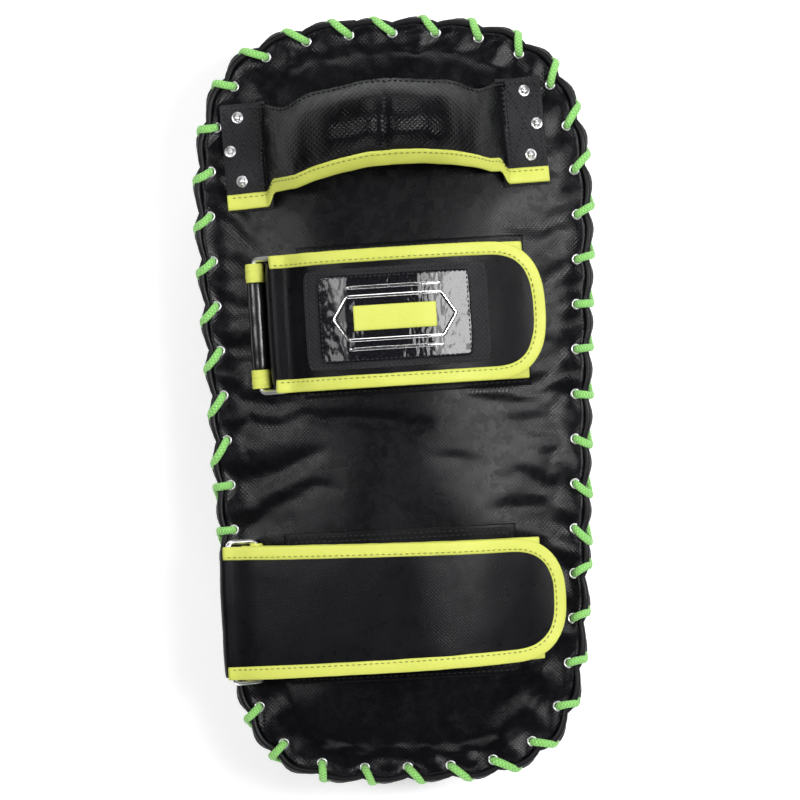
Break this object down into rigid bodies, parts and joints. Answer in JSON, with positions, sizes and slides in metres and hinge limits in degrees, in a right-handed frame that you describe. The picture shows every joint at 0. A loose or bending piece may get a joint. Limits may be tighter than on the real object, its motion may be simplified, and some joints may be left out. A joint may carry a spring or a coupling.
{
  "type": "thai kick pad",
  "caption": "Long laced foam forearm pad for kicking drills, with a riveted arched hand grip and two hook-and-loop forearm straps through wire rings.",
  "frame": {"origin": "centre of the flat strike face that the pad lies on", "axes": "+Z from the strike face to the forearm side, +Y along the pad towards the grip end, +X to the right seen from the forearm side with the grip at the top"},
  "size_m": [0.2127, 0.4039, 0.1486],
  "materials": {
    "smooth_leather": "fine grained, satin",
    "textured_leather": "coarse diamond emboss, satin",
    "piping": "smooth, semi-gloss",
    "lime_leather": "smooth, satin",
    "lace": "woven cord",
    "soft_foam": "soft open foam",
    "dense_foam": "dense closed-cell foam",
    "closure_tape": "hook and loop pile",
    "nickel": "bright plated",
    "gloss_panel": "patent gloss"
  },
  "bodies": {
    "pad": {"strike_panel": "smooth_leather", "side_wall": "smooth_leather", "back_cover": "smooth_leather", "handle_sleeve": "smooth_leather", "edge_piping": "piping", "strike_piping": "piping", "handle_patch_left": "textured_leather", "handle_patch_right": "textured_leather", "wrist_strap_patch": "textured_leather", "elbow_strap_patch": "textured_leather", "handle_binding": "lime_leather", "strike_foam": "soft_foam", "back_foam": "soft_foam", "handle_foam": "soft_foam", "core_foam": "dense_foam", "rim_lace": "lace", "wrist_keeper_end_top": "lime_leather", "wrist_keeper_end_bottom": "lime_leather", "wrist_keeper": "smooth_leather", "elbow_keeper_end_top": "lime_leather", "elbow_keeper_end_bottom": "lime_leather", "elbow_keeper": "smooth_leather", "handle_rivet_left_1": "nickel", "handle_rivet_left_2": "nickel", "handle_rivet_left_3": "nickel", "handle_rivet_right_1": "nickel", "handle_rivet_right_2": "nickel", "handle_rivet_right_3": "nickel"},
    "wrist_ring_body": {"wrist_ring": "nickel"},
    "wrist_fold_body": {"wrist_strap_fold": "smooth_leather"},
    "wrist_flap_body": {"wrist_strap_flap": "smooth_leather", "wrist_flap_binding": "lime_leather", "wrist_hook_tape": "closure_tape", "wrist_badge_backing": "textured_leather", "wrist_badge_panel": "gloss_panel", "wrist_badge_emblem": "nickel"},
    "wrist_base_body": {"wrist_strap_base": "smooth_leather", "wrist_base_binding_top": "lime_leather", "wrist_base_binding_bottom": "lime_leather", "wrist_loop_tape": "closure_tape"},
    "elbow_ring_body": {"elbow_ring": "nickel"},
    "elbow_fold_body": {"elbow_strap_fold": "smooth_leather"},
    "elbow_flap_body": {"elbow_strap_flap": "smooth_leather", "elbow_flap_binding": "lime_leather", "elbow_hook_tape": "closure_tape"},
    "elbow_base_body": {"elbow_strap_base": "smooth_leather", "elbow_base_binding_top": "lime_leather", "elbow_base_binding_bottom": "lime_leather", "elbow_loop_tape": "closure_tape"}
  },
  "joints": [
    {"name": "wrist_ring_hinge", "type": "hinge", "parent": "pad", "child": "wrist_ring_body", "pos_m": [-0.07197, 0.04059, 0.09466], "axis": [0.0279, -0.9996, 0], "range_deg": [0, 15]},
    {"name": "wrist_fold_turn", "type": "hinge", "parent": "wrist_ring_body", "child": "wrist_fold_body", "pos_m": [-0.05798, 0.04098, 0.1026], "axis": [-0.0279, 0.9996, 0], "range_deg": [0, 30]},
    {"name": "wrist_base_hinge", "type": "hinge", "parent": "pad", "child": "wrist_base_body", "pos_m": [0.06547, 0.04443, 0.097], "axis": [-0.0279, 0.9996, 0], "range_deg": [0, 4]},
    {"name": "wrist_flap_hinge", "type": "hinge", "parent": "wrist_fold_body", "child": "wrist_flap_body", "pos_m": [-0.05158, 0.04116, 0.1091], "axis": [0.0279, -0.9996, 0], "range_deg": [0, 105]},
    {"name": "elbow_ring_hinge", "type": "hinge", "parent": "pad", "child": "elbow_ring_body", "pos_m": [-0.07659, -0.10647, 0.09149], "axis": [-0.014, 0.9999, 0], "range_deg": [0, 12]},
    {"name": "elbow_fold_turn", "type": "hinge", "parent": "elbow_ring_body", "child": "elbow_fold_body", "pos_m": [-0.09059, -0.10666, 0.0992], "axis": [-0.014, 0.9999, 0], "range_deg": [-15, 0]},
    {"name": "elbow_base_hinge", "type": "hinge", "parent": "pad", "child": "elbow_base_body", "pos_m": [0.06899, -0.10444, 0.097], "axis": [-0.014, 0.9999, 0], "range_deg": [0, 4]},
    {"name": "elbow_flap_hinge", "type": "hinge", "parent": "elbow_fold_body", "child": "elbow_flap_body", "pos_m": [-0.08419, -0.10658, 0.1057], "axis": [0.014, -0.9999, 0], "range_deg": [0, 105]}
  ],
  "couplings": [
    {"joint": "wrist_fold_turn", "follows": "wrist_ring_hinge", "ratio": 1.099},
    {"joint": "wrist_base_hinge", "follows": "wrist_ring_hinge", "ratio": 0.099},
    {"joint": "elbow_fold_turn", "follows": "elbow_ring_hinge", "ratio": -0.918},
    {"joint": "elbow_base_hinge", "follows": "elbow_ring_hinge", "ratio": 0.082}
  ]
}
